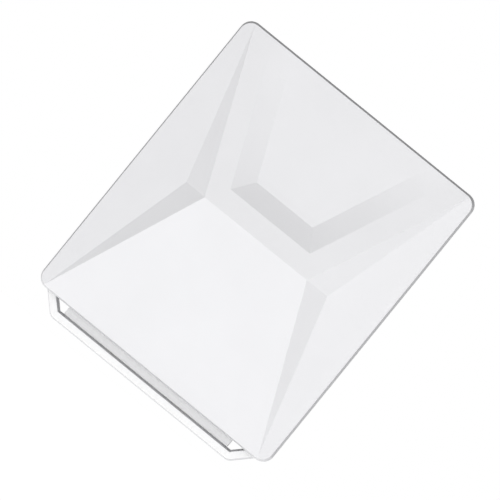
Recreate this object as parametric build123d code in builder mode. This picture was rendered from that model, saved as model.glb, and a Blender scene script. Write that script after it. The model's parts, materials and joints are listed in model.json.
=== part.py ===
from build123d import *
import math
import os

# Enclosed directional panel antenna on a tilting pole clamp.
#
# Frame: +Z up, -Y is the front (the way the antenna beams), +X is the right-hand side seen
# from the front. The origin is on the axis of the pole, at the middle of the clamp.
# "front" values are distances from the pole's axis towards the front, so y = -front.
# All lengths are in millimetres.

# ---------------------------------------------------------------- driving dimensions

# Outline of the radome
panel_width = 300.0
panel_height = 343.0
panel_corner_radius = 13.0

# Depths of the housing and the radome's skirt
housing_depth = 36.0
skirt_depth = 12.0
skirt_lap = 1.0

# Facets of the radome, as rises above the rim
radome_wall = 3.0
rim_flare = 2.2
ridge_inset = 81.9
ridge_rise = 40.0
ridge_z = 2.0
shoulder_inset = 56.6
shoulder_rise = 20.0
tip_inset_x = 9.4
tip_inset_z = 1.5

# Sunk field in the upper half of the radome
field_margin_bottom = 22.3
field_margin_side = 22.4
field_wall_run = 21.7
field_side_run = 24.6
field_drop = 11.0

# Rear housing
housing_margin_x = 20.0
housing_margin_z = 16.0
housing_corner_radius = 14.0
housing_wall = 3.0
flange_thickness = 3.0
flange_inset = 4.0
gasket_thickness = 2.0
gasket_width = 14.0
rib_height = 3.0
rib_width = 3.0
rib_pitch = 20.0
rib_margin_side = 15.0
rib_margin_bottom = 55.5
rib_margin_top = 25.5
service_spot_x = 65.0
service_spot_rise = 27.5
back_edge_radius = 2.5
inner_boss_radius = 6.0
inner_boss_height = 8.0
reflector_post_radius = 5.0

# Screws through the flange into the radome
flange_screw_inset_x = 11.5
flange_screw_inset_z = 10.0
flange_screw_pitch_x = 75.0
flange_screw_tab_gap = 23.5
boss_radius = 4.5
boss_hole_depth = 8.0
boss_web_clearance = 2.0
boss_web_thickness = 2.5

# Electrical stack inside
reflector_sink = 9.5
reflector_thickness = 1.5
reflector_gap_x = 7.0
reflector_gap_z = 7.5
reflector_corner_radius = 8.0
reflector_screw_edge_x = 7.0
reflector_screw_edge_z = 8.0
reflector_screw_bite = 8.0
reflector_hole_depth = 12.0
standoff_edge = 8.0
standoff_lift = 26.0
standoff_wall = 1.5
board_screw_end = 1.0
board_margin = 25.0
board_top_z = 95.0
board_gap = 6.5
board_thickness = 1.6
patch_pitch = 92.0
driven_patch_side = 48.0
director_patch_side = 42.0
patch_thickness = 1.0
driven_gap = 8.5
director_gap = 9.5
probe_offset = 14.0
probe_radius = 0.65
probe_hole_clearance = 2.0
spacer_wall = 3.0

# Connectors, of the usual 5/8-24 threaded N size
connector_pitch = 90.0
connector_nut_flats = 15.6
connector_nut_thickness = 3.5
connector_thread_radius = 7.94
connector_length = 15.0
connector_flange_radius = 10.0
connector_neck_radius = 6.35
contact_radius = 1.5
contact_end_inset = 2.0
contact_hole_radius = 0.825
contact_hole_depth = 5.0
tail_radius = 1.3
tail_length = 8.0
seal_thickness = 1.0
seal_inset = 0.5
connector_flange_thickness = 2.5
connector_neck_end = 1.5
socket_depth = 9.0
socket_radius = 4.35
insulator_radius = 3.5

# Shroud around the connectors
shroud_margin = 23.5
shroud_thickness = 2.0
shroud_depth = 28.0

# Guard loop under the radome
guard_depth = 14.0
guard_face_width = 7.2
guard_flare = 1.9
guard_drop = 18.6
guard_drop_from_housing = 8.0
guard_tab_width = 11.0
guard_tab_height = 45.5
guard_tab_lap = 0.9
guard_outer_radius = 1.5
guard_inner_radius = 2.5
guard_screw_drops = (9.0, 29.0)

# Vent plug and ground point
vent_stem_radius = 5.0
vent_stem_end = 2.0
vent_stem_wall = 2.0
vent_cap_radius = 8.5
vent_cap_height = 3.5
vent_cap_chamfer = 0.8
ground_washer_radius = 5.5
ground_washer_thickness = 1.2
ground_screw_length = 10.0
ground_screw_flats = 8.0
ground_screw_head = 3.5

# Tilt mount
tilt_limit = 20.0
pivot_z = 18.0
lock_radius = 36.0
ear_thickness = 5.0
inner_ear_outside = 29.0
ear_pivot_radius = 13.0
ear_lock_radius = 12.0
slot_lobe_radius = 9.5
bracket_thickness = 4.0
bracket_height = 90.0
bracket_hole_z = 32.0
hole_edge = 10.0
bracket_corner_radius = 6.0
bracket_ear_margin = 8.0
ear_root = 2.0

# Pole clamp
pole_radius = 25.0
saddle_wall = 8.0
clamp_height = 64.0
clamp_gap = 24.0
clamp_bolt_z = 20.0
cast_corner_radius = 4.0
saddle_ear_margin = 2.0
bolt_end = 3.0
tilt_bolt_end = 2.0
jaw_travel = 20.0

# Fasteners
m8_radius = 4.0
m8_flats = 13.0
m8_head_height = 5.3
m8_nut_height = 6.5
m8_washer_radius = 8.0
m8_washer_thickness = 1.6
m5_radius = 2.5
m5_head_radius = 4.5
m5_head_height = 3.0
m4_radius = 2.0
m4_head_radius = 3.5
m4_head_height = 2.6
m3_radius = 1.5
m3_head_radius = 2.8
m3_head_height = 2.0
screw_bite = 7.0
insert_bite = 3.0
bracket_screw_margin = 2.0
blind_hole_margin = 1.0
screw_socket_ratio = 0.5
screw_socket_depth = 0.6

# Clearances
pivot_clearance = 0.06
bolt_clearance = 0.3
screw_clearance = 0.25
thread_clearance = 0.05
face_clearance = 0.3
flange_clearance = 1.0
shroud_clearance = 0.3
ear_swing_clearance = 1.787
plate_swing_clearance = 3.687
head_clearance = 7.7
nut_gap = 0.2
solder_gap = 0.1

# ---------------------------------------------------------------- worked-out places

half_width = panel_width / 2
half_height = panel_height / 2
face_half_width = half_width - rim_flare
face_half_height = half_height - rim_flare
ridge_half_length = face_half_width - ridge_inset

# Stations along the depth, from the pole outwards
slot_half_sweep = tilt_limit + 0.6
slot_swing = lock_radius * math.sin(math.radians(2 * slot_half_sweep))
lock_swing = lock_radius * math.sin(math.radians(tilt_limit))
saddle_front = pole_radius + saddle_wall
pivot_front = saddle_front + slot_swing + slot_lobe_radius + ear_swing_clearance
plate_back_front = pivot_front + lock_swing + ear_lock_radius + plate_swing_clearance
housing_back_front = plate_back_front + bracket_thickness
floor_front = housing_back_front + housing_wall
flange_back_front = housing_back_front + housing_depth
flange_front = flange_back_front + flange_thickness
seat_front = flange_front + gasket_thickness
skirt_back_front = flange_front - skirt_lap
rim_front = skirt_back_front + skirt_depth

# Housing, its flange and the guard's place on it
housing_width = panel_width - 2 * housing_margin_x
housing_height = panel_height - 2 * housing_margin_z
housing_bottom_z = -housing_height / 2
flange_width = panel_width - 2 * flange_inset
flange_height = panel_height - 2 * flange_inset
tab_inside = housing_width / 2
tab_outside = tab_inside + guard_tab_width
guard_top_z = housing_bottom_z - guard_drop_from_housing
guard_tab_top_z = guard_top_z + guard_tab_height
guard_front = flange_back_front
guard_back_front = guard_front - guard_depth
bar_outer_z = -half_height - guard_drop
bar_inner_z = bar_outer_z + guard_face_width
guard_bar_half_length = tab_outside + guard_tab_lap - (guard_top_z - bar_outer_z)
screw_x = half_width - flange_screw_inset_x
screw_z = half_height - flange_screw_inset_z
side_screw_pitch = -2 * (guard_tab_top_z + flange_screw_tab_gap) / 3

# Electrical stack
reflector_front = flange_front - reflector_sink
reflector_face = reflector_front + reflector_thickness
reflector_width = housing_width - 2 * housing_wall - 2 * reflector_gap_x
reflector_height = housing_height - 2 * housing_wall - 2 * reflector_gap_z
driven_front = reflector_face + driven_gap
director_front = driven_front + patch_thickness + director_gap
director_top = director_front + patch_thickness
connector_front = floor_front + connector_nut_flats / 2 + nut_gap
board_width = reflector_width - 2 * board_margin
board_bottom_z = housing_bottom_z + housing_wall + board_gap
board_back_front = connector_front + tail_radius + solder_gap
board_front = board_back_front + board_thickness

# Connector bay
shroud_width = housing_width - 2 * shroud_margin
shroud_top_z = housing_bottom_z - shroud_thickness
shroud_bottom_z = bar_inner_z + guard_flare + shroud_clearance

# Tilt mount and clamp
outer_ear_inside = inner_ear_outside + face_clearance
outer_ear_outside = outer_ear_inside + ear_thickness
inner_ear_inside = inner_ear_outside - ear_thickness
lock_z = pivot_z - lock_radius
bracket_hole_x = outer_ear_outside + head_clearance
bracket_width = 2 * (bracket_hole_x + hole_edge)
clamp_bolt_x = outer_ear_outside + head_clearance
clamp_width = 2 * (clamp_bolt_x + hole_edge)
jaw_back = pole_radius + saddle_wall
clamp_bolt_end = jaw_back + m8_washer_thickness + m8_nut_height + jaw_travel + bolt_end

patch_spots = [
    (column * patch_pitch / 2, row * patch_pitch / 2)
    for column in (-1, 1)
    for row in (-1, 1)
]
flange_screw_spots = [
    (side * screw_x, (step - 1.5) * side_screw_pitch)
    for side in (-1, 1)
    for step in range(4)
] + [
    (step * flange_screw_pitch_x, end * screw_z) for end in (-1, 1) for step in (-1, 0, 1)
]
reflector_spots = [
    (
        column * (reflector_width / 2 - reflector_screw_edge_x),
        row * (reflector_height / 2 - reflector_screw_edge_z),
    )
    for column in (-1, 1)
    for row in (-1, 0, 1)
]
standoff_spots = [
    (column * (board_width / 2 - standoff_edge), z)
    for column in (-1, 1)
    for z in (board_bottom_z + standoff_lift, board_top_z - standoff_edge)
]
bracket_spots = [
    (column * bracket_hole_x, row * bracket_hole_z) for column in (-1, 1) for row in (-1, 1)
]
clamp_spots = [
    (column * clamp_bolt_x, row * clamp_bolt_z) for column in (-1, 1) for row in (-1, 1)
]
connector_spots = [(side * connector_pitch / 2, connector_front) for side in (-1, 1)]
probe_spots = [(x, z - probe_offset) for x, z in patch_spots]
guard_screw_spots = [
    (guard_back_front + guard_depth / 2, guard_tab_top_z - drop) for drop in guard_screw_drops
]


def facing(front):
    """Plane across the depth at this distance; local x is +X, local y is +Z, out is front."""
    return Plane(origin=(0, -front, 0), x_dir=(1, 0, 0), z_dir=(0, -1, 0))


def backing(front):
    """The same plane seen from behind: local x is -X, local y is +Z, out is +Y."""
    return Plane(origin=(0, -front, 0), x_dir=(-1, 0, 0), z_dir=(0, 1, 0))


def looking_down(z):
    """Level plane at height z; local x is +X, local y is the front distance, out is -Z."""
    return Plane(origin=(0, 0, z), x_dir=(1, 0, 0), z_dir=(0, 0, -1))


def upright(x):
    """Plane square to X; local x is the front distance, local y is +Z, out is -X."""
    return Plane(origin=(x, 0, 0), x_dir=(0, -1, 0), z_dir=(-1, 0, 0))


def place(x, front, z):
    return Vector(x, -front, z)


def plane_through(a, b, c, outside):
    """Plane through three points, with its normal towards the point outside."""
    normal = (b - a).cross(c - a).normalized()
    if normal.dot(outside - a) < 0:
        normal = normal * -1
    return Plane(origin=a, x_dir=(b - a).normalized(), z_dir=normal)


def finish(part, label):
    """Labels a piece and writes it to its own file."""
    part.label = label
    export_step(part, f"parts/{label}.step")


def socket_screws(seat, spots, radius, length, head_radius, head_height):
    """Round-headed screws: shanks run out along the seat plane's normal, heads behind it."""
    with BuildPart() as screws:
        with BuildSketch(seat.offset(-head_height)):
            with Locations(*spots):
                Circle(head_radius)
        extrude(amount=head_height)
        with BuildSketch(seat):
            with Locations(*spots):
                Circle(radius)
        extrude(amount=length)
        with BuildSketch(seat.offset(-head_height)):
            with Locations(*spots):
                RegularPolygon(head_radius * screw_socket_ratio, 6)
        extrude(amount=head_height * screw_socket_depth, mode=Mode.SUBTRACT)
    return screws.part


def hex_bolts(seat, spots, radius, length, flats, head_height):
    """Hexagon bolts: shanks run out along the seat plane's normal, heads behind it."""
    with BuildPart() as bolts:
        with BuildSketch(seat.offset(-head_height)):
            with Locations(*spots):
                RegularPolygon(flats / 2, 6, major_radius=False)
        extrude(amount=head_height)
        with BuildSketch(seat):
            with Locations(*spots):
                Circle(radius)
        extrude(amount=length)
    return bolts.part


def rings(seat, spots, outer, inner, thickness):
    """Round washers or tubes that stand on the seat plane."""
    with BuildPart() as tubes:
        with BuildSketch(seat):
            with Locations(*spots):
                Circle(outer)
                Circle(inner, mode=Mode.SUBTRACT)
        extrude(amount=thickness)
    return tubes.part


def hex_nuts(seat, spots, flats, bore, thickness):
    """Hexagon nuts that stand on the seat plane."""
    with BuildPart() as nuts:
        with BuildSketch(seat):
            with Locations(*spots):
                RegularPolygon(flats / 2, 6, major_radius=False)
                Circle(bore, mode=Mode.SUBTRACT)
        extrude(amount=thickness)
    return nuts.part


def both_sides(part):
    """The given right-hand pieces and their mirror images."""
    with BuildPart() as pair:
        add(part)
        mirror(part, about=Plane.YZ)
    return pair.part


os.makedirs("parts", exist_ok=True)

# ---------------------------------------------------------------- radome

far_front = place(0, rim_front + 1000, 0)
far_right = place(1000, rim_front, 0)
tip_x = face_half_width - tip_inset_x
tip_z = face_half_height - tip_inset_z
tip_rise = shoulder_rise * tip_inset_x / shoulder_inset
tip_front = rim_front + tip_rise
shoulder_x = face_half_width - shoulder_inset
ridge_front = rim_front + ridge_rise


def ridge_point(side):
    return place(side * ridge_half_length, ridge_front, ridge_z)


def shoulder_point(side):
    return place(side * shoulder_x, rim_front + shoulder_rise, ridge_z)


def tip_point(side, end):
    return place(side * tip_x, tip_front, end * tip_z)


def slope_plane(end):
    """Large upper (end 1) or lower (end -1) face, from the ridge to two tips."""
    return plane_through(ridge_point(-1), ridge_point(1), tip_point(1, end), far_front)


def strip_plane(side, end):
    """Steep strip between a tip, the shoulder and the end of the ridge."""
    return plane_through(
        tip_point(side, end), shoulder_point(side), ridge_point(side), far_front
    )


# Upper field: its outer outline follows the ridge and the hips at a set margin, and its wall
# runs down to a floor that meets the upper face again at the top edge.
hip_lean = (tip_x - ridge_half_length) / (tip_z - ridge_z)
slope_fall = (ridge_front - tip_front) / (tip_z - ridge_z)
field_z = ridge_z + field_margin_bottom
field_inner_z = field_z + field_wall_run
hip_stretch = (1 + hip_lean**2) ** 0.5
field_half = ridge_half_length + hip_lean * field_margin_bottom - field_margin_side * hip_stretch
field_top_z = face_half_height - 0.3


def slope_height(z):
    return ridge_front - slope_fall * (z - ridge_z)


def field_outer(z):
    return field_half + hip_lean * (z - field_z)


def field_inner(z):
    return field_outer(z) - field_side_run


field_edge_front = slope_height(face_half_height)
field_low_front = slope_height(field_inner_z) - field_drop
field_fall = (field_low_front - field_edge_front) / (face_half_height - field_inner_z)


def field_floor(z):
    return field_low_front - field_fall * (z - field_inner_z)


def field_section(z):
    """Half-open outline of the field at height z, closed above the radome's face."""
    lid = slope_height(z) + 12
    return [
        (-field_outer(z), slope_height(z)),
        (-field_inner(z), field_floor(z)),
        (field_inner(z), field_floor(z)),
        (field_outer(z), slope_height(z)),
        (field_outer(z), lid),
        (-field_outer(z), lid),
    ]


with BuildPart() as field_arms:
    for level in (field_inner_z, field_top_z):
        with BuildSketch(looking_down(level)):
            Polygon(*field_section(level), align=None)
    loft(ruled=True)

field_corner = [
    place(side * field_outer(field_z), slope_height(field_z), field_z) for side in (-1, 1)
]
field_foot = [
    place(side * field_inner(field_inner_z), field_low_front, field_inner_z)
    for side in (-1, 1)
]
field_arm_start = [
    place(side * field_outer(field_inner_z), slope_height(field_inner_z), field_inner_z)
    for side in (-1, 1)
]

with BuildPart() as field_bottom:
    with BuildSketch(looking_down(field_inner_z)):
        with Locations((0, ridge_front)):
            Rectangle(panel_width, 2 * ridge_rise)
    extrude(amount=field_wall_run)
    split(
        bisect_by=plane_through(field_corner[0], field_corner[1], field_foot[0], far_front),
        keep=Keep.TOP,
    )
    for corner, foot, arm_start in zip(field_corner, field_foot, field_arm_start):
        split(bisect_by=plane_through(corner, foot, arm_start, far_front), keep=Keep.TOP)


def roof_half(end):
    """Half of the roof, above (end 1) or below (end -1) the level of the ridge."""
    far_z = half_height + 10
    with BuildPart() as half:
        with BuildSketch(facing(skirt_back_front)):
            with Locations((0, (ridge_z + end * far_z) / 2)):
                Rectangle(panel_width + 20, far_z - end * ridge_z)
        extrude(amount=skirt_depth + ridge_rise + 1)
        split(bisect_by=slope_plane(end), keep=Keep.BOTTOM)
        for side in (-1, 1):
            split(bisect_by=strip_plane(side, end), keep=Keep.BOTTOM)
    return half.part


rim_edge = place(face_half_width, rim_front, 0)
side_plane = plane_through(rim_edge, rim_edge + Vector(0, 0, 1), shoulder_point(1), far_front)

with BuildPart() as wedge_form:
    with BuildSketch(facing(skirt_back_front)):
        with Locations((half_width / 2 + 5, 0)):
            Rectangle(half_width + 10, panel_height + 20)
    extrude(amount=skirt_depth + ridge_rise)
    split(bisect_by=side_plane, keep=Keep.BOTTOM)
    for end in (-1, 1):
        valley = plane_through(
            tip_point(1, end), shoulder_point(1), place(shoulder_x, 0, ridge_z), far_right
        )
        split(bisect_by=valley, keep=Keep.TOP)

with BuildPart() as face_form:
    add(roof_half(-1))
    add(roof_half(1))
    add(wedge_form.part)
    mirror(wedge_form.part, about=Plane.YZ)
    add(field_arms.part, mode=Mode.SUBTRACT)
    add(field_bottom.part, mode=Mode.SUBTRACT)


def skirt_form(inset):
    """Flared skirt up to the rim and a straight prism above it, drawn in by an inset."""
    with BuildPart() as form:
        for front, flare in ((skirt_back_front, 0), (rim_front, rim_flare)):
            with BuildSketch(facing(front)):
                RectangleRounded(
                    panel_width - 2 * (inset + flare),
                    panel_height - 2 * (inset + flare),
                    panel_corner_radius - inset - flare / 2,
                )
        loft()
        with BuildSketch(facing(rim_front)):
            RectangleRounded(
                panel_width - 2 * (inset + rim_flare),
                panel_height - 2 * (inset + rim_flare),
                panel_corner_radius - inset - rim_flare / 2,
            )
        extrude(amount=ridge_rise + 1)
    return form.part


radome_outside = skirt_form(0)
radome_inside = skirt_form(radome_wall)

with BuildPart() as radome_cavity:
    add(radome_inside)
    add(face_form.part.moved(Location((0, radome_wall, 0))), mode=Mode.INTERSECT)

web_outside = boss_radius + boss_web_clearance
web_inside = web_outside + boss_web_thickness

with BuildPart() as radome_bosses:
    with BuildSketch(facing(seat_front)):
        with Locations(*flange_screw_spots):
            Circle(boss_radius)
        RectangleRounded(
            2 * (screw_x - web_outside),
            2 * (screw_z - web_outside),
            panel_corner_radius / 2,
        )
        RectangleRounded(
            2 * (screw_x - web_inside),
            2 * (screw_z - web_inside),
            panel_corner_radius / 3,
            mode=Mode.SUBTRACT,
        )
    extrude(amount=ridge_rise)
    add(face_form.part.moved(Location((0, radome_wall / 2, 0))), mode=Mode.INTERSECT)
    add(radome_outside, mode=Mode.INTERSECT)

with BuildPart() as radome:
    add(radome_outside)
    add(face_form.part, mode=Mode.INTERSECT)
    add(radome_cavity.part, mode=Mode.SUBTRACT)
    add(radome_bosses.part)
    with BuildSketch(facing(seat_front)):
        with Locations(*flange_screw_spots):
            Circle(m4_radius)
    extrude(amount=boss_hole_depth, mode=Mode.SUBTRACT)
finish(radome.part, "radome")

# ---------------------------------------------------------------- gasket and rear housing

with BuildPart() as radome_gasket:
    with BuildSketch(facing(flange_front)):
        RectangleRounded(
            flange_width - 2 * flange_clearance,
            flange_height - 2 * flange_clearance,
            panel_corner_radius - flange_inset - flange_clearance,
        )
        RectangleRounded(
            flange_width - 2 * flange_clearance - 2 * gasket_width,
            flange_height - 2 * flange_clearance - 2 * gasket_width,
            panel_corner_radius / 3,
            mode=Mode.SUBTRACT,
        )
        with Locations(*flange_screw_spots):
            Circle(m4_radius + screw_clearance, mode=Mode.SUBTRACT)
    extrude(amount=gasket_thickness)
finish(radome_gasket.part, "radome_gasket")

vent_spot = (service_spot_x, housing_bottom_z + service_spot_rise)
ground_spot = (-service_spot_x, housing_bottom_z + service_spot_rise)
rib_length = housing_height - rib_margin_bottom - rib_margin_top
rib_middle_x = housing_width / 2 - rib_margin_side - rib_pitch

with BuildPart() as rear_housing:
    with BuildSketch(facing(housing_back_front)):
        RectangleRounded(housing_width, housing_height, housing_corner_radius)
    extrude(amount=flange_back_front - housing_back_front)
    fillet(rear_housing.faces().sort_by(Axis.Y)[-1].edges(), radius=back_edge_radius)
    with BuildSketch(facing(flange_back_front)):
        RectangleRounded(flange_width, flange_height, panel_corner_radius - flange_inset)
    extrude(amount=flange_thickness)
    with BuildSketch(facing(floor_front)):
        RectangleRounded(
            housing_width - 2 * housing_wall,
            housing_height - 2 * housing_wall,
            housing_corner_radius - housing_wall,
        )
    extrude(amount=flange_front - floor_front, mode=Mode.SUBTRACT)
    with BuildSketch(backing(housing_back_front)):
        with Locations((0, (rib_margin_bottom - rib_margin_top) / 2)):
            with GridLocations(2 * rib_middle_x, 0, 2, 1):
                with GridLocations(rib_pitch, 0, 3, 1):
                    Rectangle(rib_width, rib_length)
    extrude(amount=rib_height)
    with BuildSketch(facing(floor_front)):
        with Locations(*bracket_spots, ground_spot):
            Circle(inner_boss_radius)
    extrude(amount=inner_boss_height)
    with BuildSketch(facing(floor_front)):
        with Locations(*reflector_spots):
            Circle(reflector_post_radius)
    extrude(amount=reflector_front - floor_front)
    with BuildSketch(facing(flange_back_front)):
        with Locations(*flange_screw_spots):
            Circle(m4_radius + screw_clearance)
    extrude(amount=flange_thickness, mode=Mode.SUBTRACT)
    with BuildSketch(facing(housing_back_front)):
        with Locations(*bracket_spots, ground_spot):
            Circle(m5_radius)
    extrude(
        amount=housing_wall + inner_boss_height - blind_hole_margin, mode=Mode.SUBTRACT
    )
    with BuildSketch(facing(housing_back_front)):
        with Locations(vent_spot):
            Circle(vent_stem_radius)
    extrude(amount=housing_wall, mode=Mode.SUBTRACT)
    with BuildSketch(facing(reflector_front - reflector_hole_depth)):
        with Locations(*reflector_spots):
            Circle(m3_radius)
    extrude(amount=reflector_hole_depth, mode=Mode.SUBTRACT)
    with BuildSketch(looking_down(housing_bottom_z + housing_wall)):
        with Locations(*connector_spots):
            Circle(connector_neck_radius + screw_clearance)
    extrude(amount=housing_wall, mode=Mode.SUBTRACT)
    with BuildSketch(upright(housing_width / 2)):
        with Locations(*guard_screw_spots):
            Circle(m4_radius)
    extrude(amount=housing_width, mode=Mode.SUBTRACT)
finish(rear_housing.part, "rear_housing")

housing_screws = socket_screws(
    facing(flange_back_front),
    flange_screw_spots,
    m4_radius,
    flange_thickness + gasket_thickness + screw_bite,
    m4_head_radius,
    m4_head_height,
)
finish(housing_screws, "housing_screws")

# ---------------------------------------------------------------- reflector and feed

with BuildPart() as reflector_plate:
    with BuildSketch(facing(reflector_front)):
        RectangleRounded(reflector_width, reflector_height, reflector_corner_radius)
        with Locations(*reflector_spots, *patch_spots, *standoff_spots):
            Circle(m3_radius + thread_clearance, mode=Mode.SUBTRACT)
        with Locations(*probe_spots):
            Circle(probe_radius + probe_hole_clearance, mode=Mode.SUBTRACT)
    extrude(amount=reflector_thickness)
finish(reflector_plate.part, "reflector_plate")

reflector_screws = socket_screws(
    backing(reflector_face),
    reflector_spots,
    m3_radius,
    reflector_thickness + reflector_screw_bite,
    m3_head_radius,
    m3_head_height,
)
finish(reflector_screws, "reflector_screws")

with BuildPart() as feed_board:
    with BuildSketch(facing(board_back_front)):
        with Locations((0, (board_top_z + board_bottom_z) / 2)):
            Rectangle(board_width, board_top_z - board_bottom_z)
        with Locations(*standoff_spots):
            Circle(m3_radius + thread_clearance, mode=Mode.SUBTRACT)
        with Locations(*probe_spots):
            Circle(probe_radius, mode=Mode.SUBTRACT)
    extrude(amount=board_thickness)
finish(feed_board.part, "feed_board")

board_standoffs = rings(
    facing(board_front),
    standoff_spots,
    m3_radius + standoff_wall,
    m3_radius + thread_clearance,
    reflector_front - board_front,
)
finish(board_standoffs, "board_standoffs")

board_screws = socket_screws(
    facing(board_back_front),
    standoff_spots,
    m3_radius,
    reflector_face - board_back_front + board_screw_end,
    m3_head_radius,
    m3_head_height,
)
finish(board_screws, "board_screws")


def patch_layer(front, side):
    """Square patches with a hole in the middle of each."""
    with BuildPart() as patches:
        with BuildSketch(facing(front)):
            with Locations(*patch_spots):
                Rectangle(side, side)
                Circle(m3_radius + thread_clearance, mode=Mode.SUBTRACT)
        extrude(amount=patch_thickness)
    return patches.part


driven_patches = patch_layer(driven_front, driven_patch_side)
finish(driven_patches, "driven_patches")

director_patches = patch_layer(director_front, director_patch_side)
finish(director_patches, "director_patches")

spacer_radius = m3_radius + spacer_wall

lower_patch_spacers = rings(
    facing(reflector_face),
    patch_spots,
    spacer_radius,
    m3_radius + thread_clearance,
    driven_gap,
)
finish(lower_patch_spacers, "lower_patch_spacers")

upper_patch_spacers = rings(
    facing(driven_front + patch_thickness),
    patch_spots,
    spacer_radius,
    m3_radius + thread_clearance,
    director_gap,
)
finish(upper_patch_spacers, "upper_patch_spacers")

patch_screws = socket_screws(
    Plane(origin=(0, -director_top, 0), x_dir=(1, 0, 0), z_dir=(0, 1, 0)),
    patch_spots,
    m3_radius,
    director_top - reflector_front,
    m3_head_radius,
    m3_head_height,
)
finish(patch_screws, "patch_screws")

with BuildPart() as feed_probes:
    with BuildSketch(facing(board_back_front)):
        with Locations(*probe_spots):
            Circle(probe_radius)
    extrude(amount=driven_front - board_back_front)
finish(feed_probes.part, "feed_probes")

# ---------------------------------------------------------------- connector bay

flange_top_z = shroud_top_z - seal_thickness
connector_flange_bottom_z = flange_top_z - connector_flange_thickness
connector_mouth_z = connector_flange_bottom_z - connector_length
housing_inner_bottom_z = housing_bottom_z + housing_wall
neck_top_z = housing_inner_bottom_z + connector_nut_thickness + connector_neck_end

with BuildPart() as connector_shroud:
    with BuildSketch(looking_down(housing_bottom_z)):
        with Locations((0, housing_back_front + shroud_depth / 2)):
            Rectangle(shroud_width, shroud_depth)
        with Locations(*connector_spots):
            Circle(connector_neck_radius + screw_clearance, mode=Mode.SUBTRACT)
    extrude(amount=shroud_thickness)
    with BuildSketch(looking_down(shroud_top_z)):
        with Locations((0, housing_back_front + shroud_depth / 2)):
            Rectangle(shroud_width, shroud_depth)
        with Locations((0, housing_back_front + (shroud_depth - shroud_thickness) / 2)):
            Rectangle(
                shroud_width - 2 * shroud_thickness,
                shroud_depth - shroud_thickness,
                mode=Mode.SUBTRACT,
            )
    extrude(amount=shroud_top_z - shroud_bottom_z)
finish(connector_shroud.part, "connector_shroud")

connector_seals = rings(
    looking_down(shroud_top_z),
    connector_spots,
    connector_flange_radius - seal_inset,
    connector_neck_radius + screw_clearance,
    seal_thickness,
)
finish(connector_seals, "connector_seals")

with BuildPart() as connector_bodies:
    for top, radius, length in (
        (neck_top_z, connector_neck_radius, neck_top_z - flange_top_z),
        (flange_top_z, connector_flange_radius, connector_flange_thickness),
        (connector_flange_bottom_z, connector_thread_radius, connector_length),
    ):
        with BuildSketch(looking_down(top)):
            with Locations(*connector_spots):
                Circle(radius)
        extrude(amount=length)
    with BuildSketch(looking_down(neck_top_z)):
        with Locations(*connector_spots):
            Circle(insulator_radius)
    extrude(amount=neck_top_z - connector_mouth_z, mode=Mode.SUBTRACT)
    with BuildSketch(looking_down(connector_mouth_z + socket_depth)):
        with Locations(*connector_spots):
            Circle(socket_radius)
    extrude(amount=socket_depth, mode=Mode.SUBTRACT)
finish(connector_bodies.part, "connector_bodies")

connector_insulators = rings(
    looking_down(neck_top_z),
    connector_spots,
    insulator_radius,
    contact_radius,
    neck_top_z - connector_mouth_z - socket_depth,
)
finish(connector_insulators, "connector_insulators")

contact_end_z = connector_mouth_z + contact_end_inset

with BuildPart() as connector_contacts:
    with BuildSketch(looking_down(neck_top_z)):
        with Locations(*connector_spots):
            Circle(contact_radius)
    extrude(amount=neck_top_z - contact_end_z)
    with BuildSketch(looking_down(neck_top_z + tail_length)):
        with Locations(*connector_spots):
            Circle(tail_radius)
    extrude(amount=tail_length)
    with BuildSketch(looking_down(contact_end_z + contact_hole_depth)):
        with Locations(*connector_spots):
            Circle(contact_hole_radius)
    extrude(amount=contact_hole_depth, mode=Mode.SUBTRACT)
finish(connector_contacts.part, "connector_contacts")

connector_nuts = hex_nuts(
    looking_down(housing_inner_bottom_z + connector_nut_thickness),
    connector_spots,
    connector_nut_flats,
    connector_neck_radius,
    connector_nut_thickness,
)
finish(connector_nuts, "connector_nuts")

# ---------------------------------------------------------------- guard loop

lean_shift = guard_face_width * (2**0.5 - 1)
inner_half = guard_bar_half_length - lean_shift
face_outer = [
    (guard_bar_half_length, bar_outer_z),
    (guard_bar_half_length + guard_top_z - bar_outer_z, guard_top_z),
]
face_inner = [
    (inner_half + guard_top_z - bar_inner_z, guard_top_z),
    (inner_half, bar_inner_z),
]


def at_bar_inside(corner):
    """Whether a corner of the loop's outline is on the bar's inner edge."""
    return abs(corner.Y - bar_inner_z) < 0.01


guard_taper = math.degrees(math.atan(guard_flare / guard_depth))
tab_height = guard_tab_top_z - guard_top_z

with BuildPart() as lower_guard:
    with BuildSketch(backing(guard_front)):
        with BuildLine():
            Polyline(
                *face_outer,
                *face_inner,
                *[(-x, z) for x, z in reversed(face_inner)],
                *[(-x, z) for x, z in reversed(face_outer)],
                close=True,
            )
        make_face()
        fillet(vertices().group_by(Axis.Y)[0], radius=guard_outer_radius)
        fillet(vertices().filter_by(at_bar_inside), radius=guard_inner_radius)
    extrude(amount=guard_depth, taper=-guard_taper)
    with BuildSketch(facing(guard_back_front)):
        with Locations((0, guard_top_z + tab_height / 2)):
            with GridLocations(2 * tab_inside + guard_tab_width, 0, 2, 1):
                Rectangle(guard_tab_width, tab_height)
    extrude(amount=guard_depth)
    with BuildSketch(upright(tab_outside)):
        with Locations(*guard_screw_spots):
            Circle(m4_radius + screw_clearance)
    extrude(amount=2 * tab_outside, mode=Mode.SUBTRACT)
finish(lower_guard.part, "lower_guard")


guard_screws = both_sides(
    socket_screws(
        upright(tab_outside),
        guard_screw_spots,
        m4_radius,
        guard_tab_width + housing_wall + insert_bite,
        m4_head_radius,
        m4_head_height,
    )
)
finish(guard_screws, "guard_screws")

# ---------------------------------------------------------------- vent and ground

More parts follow.
